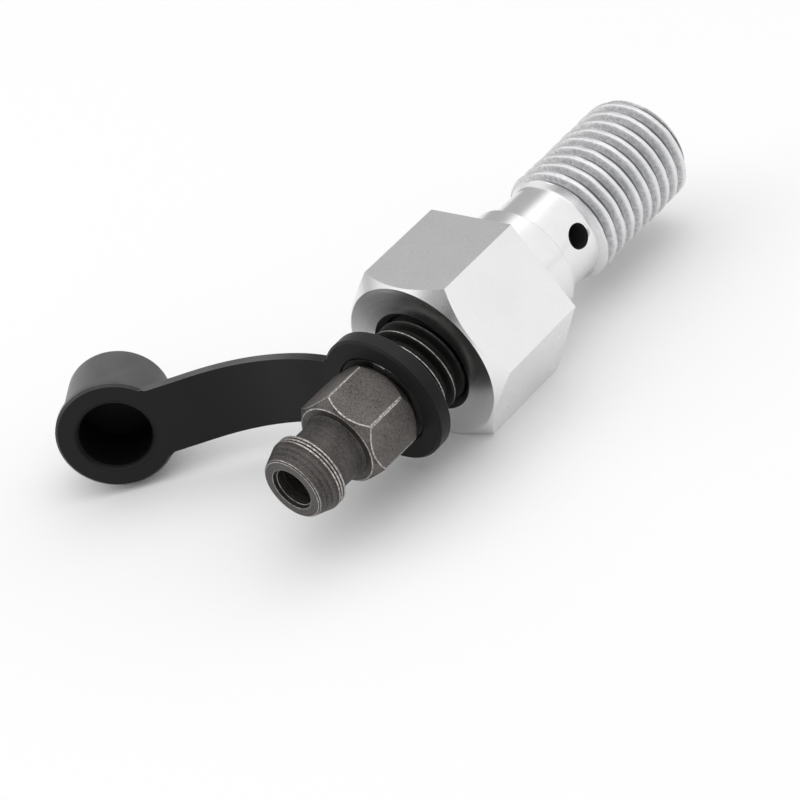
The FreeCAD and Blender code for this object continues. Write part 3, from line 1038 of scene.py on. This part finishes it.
class BLEEDER_OT_stage(bpy.types.Operator):
    """Sets the floor, studio walls, softbox and camera"""

    bl_idname = "bleeder.stage"
    bl_label = "Stage"

    def execute(self, context):
        settings = context.scene.bleeder_stage
        self.floor(context)
        self.world(context, settings)
        self.softbox(context, settings)
        self.camera(context, settings)
        context.scene.view_settings.view_transform = "Standard"
        return {"FINISHED"}

    def floor(self, context):
        """White board under the part's lowest point."""
        half = 1.5
        level = CAD_BOX[0].z
        mesh = bpy.data.meshes.new("studio_floor")
        corners = [(-half, -half, level), (half, -half, level),
                   (half, half, level), (-half, half, level)]
        mesh.from_pydata(corners, [], [(0, 1, 2, 3)])
        board = bpy.data.objects.new("studio_floor", mesh)
        board.data.materials.append(studio_floor(context.scene.bleeder_colours))
        context.scene.collection.objects.link(board)

    def world(self, context, settings):
        """Grey studio walls with two white panels and one dark opening."""
        world = bpy.data.worlds.new("studio_walls")
        context.scene.world = world
        world.use_nodes = True
        tree = world.node_tree
        tree.nodes.clear()
        direction = node(tree, "ShaderNodeTexCoord")
        walls = settings.wall_level
        panels = ((settings.side_panel, SIDE_PANEL_EDGE), (settings.back_panel, BACK_PANEL_EDGE))
        for panel, (start, end) in panels:
            facing = node(
                tree, "ShaderNodeVectorMath", {0: direction, 1: Vector(panel).normalized()},
                operation="DOT_PRODUCT"
            )
            glow = node(
                tree, "ShaderNodeMapRange",
                {"Value": facing.outputs["Value"], "From Min": start, "From Max": end,
                 "To Min": settings.wall_level, "To Max": 1.0},
                interpolation_type="SMOOTHSTEP"
            )
            walls = node(tree, "ShaderNodeMath", {0: walls, 1: glow}, operation="MAXIMUM")
        dark = Vector(settings.dark_opening).normalized()
        facing = node(
            tree, "ShaderNodeVectorMath", {0: direction, 1: dark}, operation="DOT_PRODUCT"
        )
        open_end = node(
            tree, "ShaderNodeMapRange",
            {"Value": facing.outputs["Value"], "From Min": DARK_EDGE[0], "From Max": DARK_EDGE[1],
             "To Min": 1.0, "To Max": DARK_LEVEL},
            interpolation_type="SMOOTHSTEP"
        )
        walls = node(tree, "ShaderNodeMath", {0: walls, 1: open_end}, operation="MULTIPLY")
        studio = node(tree, "ShaderNodeBackground", {"Color": walls, "Strength": 1.0})
        node(tree, "ShaderNodeOutputWorld", {"Surface": studio})

    def softbox(self, context, settings):
        """Square lamp overhead, turned towards the part."""
        place = Vector(settings.top_place)
        light = bpy.data.lights.new("top_softbox", "AREA")
        light.shape = "SQUARE"
        light.size = settings.top_size
        light.energy = settings.top_power
        lamp = bpy.data.objects.new("top_softbox", light)
        lamp.location = place
        lamp.rotation_mode = "QUATERNION"
        lamp.rotation_quaternion = (-place).to_track_quat("-Z", "Y")
        context.scene.collection.objects.link(lamp)

    def camera(self, context, settings):
        """Camera at the photograph's viewing angle, leaning by its roll."""
        lens = bpy.data.cameras.new("camera")
        lens.lens = settings.lens
        lens.clip_start = 0.01
        camera = bpy.data.objects.new("camera", lens)
        place = Vector(settings.camera_place)
        forward = (Vector(settings.camera_target) - place).normalized()
        level = forward.cross(Vector((0, 0, 1))).normalized()
        upright = level.cross(forward)
        roll = settings.camera_roll
        up = upright * math.cos(roll) + level * math.sin(roll)
        right = level * math.cos(roll) - upright * math.sin(roll)
        turn = Matrix((right, up, -forward)).transposed().to_4x4()
        camera.matrix_world = Matrix.Translation(place) @ turn
        context.scene.collection.objects.link(camera)
        context.scene.camera = camera


OPERATORS = (
    BLEEDER_OT_banjo_bolt,
    BLEEDER_OT_shank_thread,
    BLEEDER_OT_bleed_nipple,
    BLEEDER_OT_nipple_thread,
    BLEEDER_OT_dust_cap,
    BLEEDER_OT_stage,
)
SETTINGS = {
    "bleeder_bolt": BoltSizes,
    "bleeder_nipple": NippleSizes,
    "bleeder_colours": FinishColours,
    "bleeder_stage": StageSizes,
}


class BLEEDER_PT_sidebar(bpy.types.Panel):
    """Lists the pieces and their sizes in the sidebar"""

    bl_idname = "BLEEDER_PT_sidebar"
    bl_label = "Bleeder screw"
    bl_space_type = "VIEW_3D"
    bl_region_type = "UI"
    bl_category = "Bleeder"

    def draw(self, context):
        for operator in OPERATORS:
            self.layout.operator(operator.bl_idname)
        for name, group in SETTINGS.items():
            box = self.layout.box()
            for prop in group.__annotations__:
                box.prop(getattr(context.scene, name), prop)


def register():
    for kind in (*SETTINGS.values(), *OPERATORS, BLEEDER_PT_sidebar):
        bpy.utils.register_class(kind)
    for name, group in SETTINGS.items():
        setattr(bpy.types.Scene, name, bpy.props.PointerProperty(type=group))


def unregister():
    for name in SETTINGS:
        delattr(bpy.types.Scene, name)
    for kind in (BLEEDER_PT_sidebar, *reversed(OPERATORS), *reversed(SETTINGS.values())):
        bpy.utils.unregister_class(kind)


def main():
    register()
    bpy.ops.bleeder.banjo_bolt()
    bpy.ops.bleeder.shank_thread()
    bpy.ops.bleeder.bleed_nipple()
    bpy.ops.bleeder.nipple_thread()
    bpy.ops.bleeder.dust_cap()
    bpy.ops.bleeder.stage()


if __name__ == "__main__":
    main()
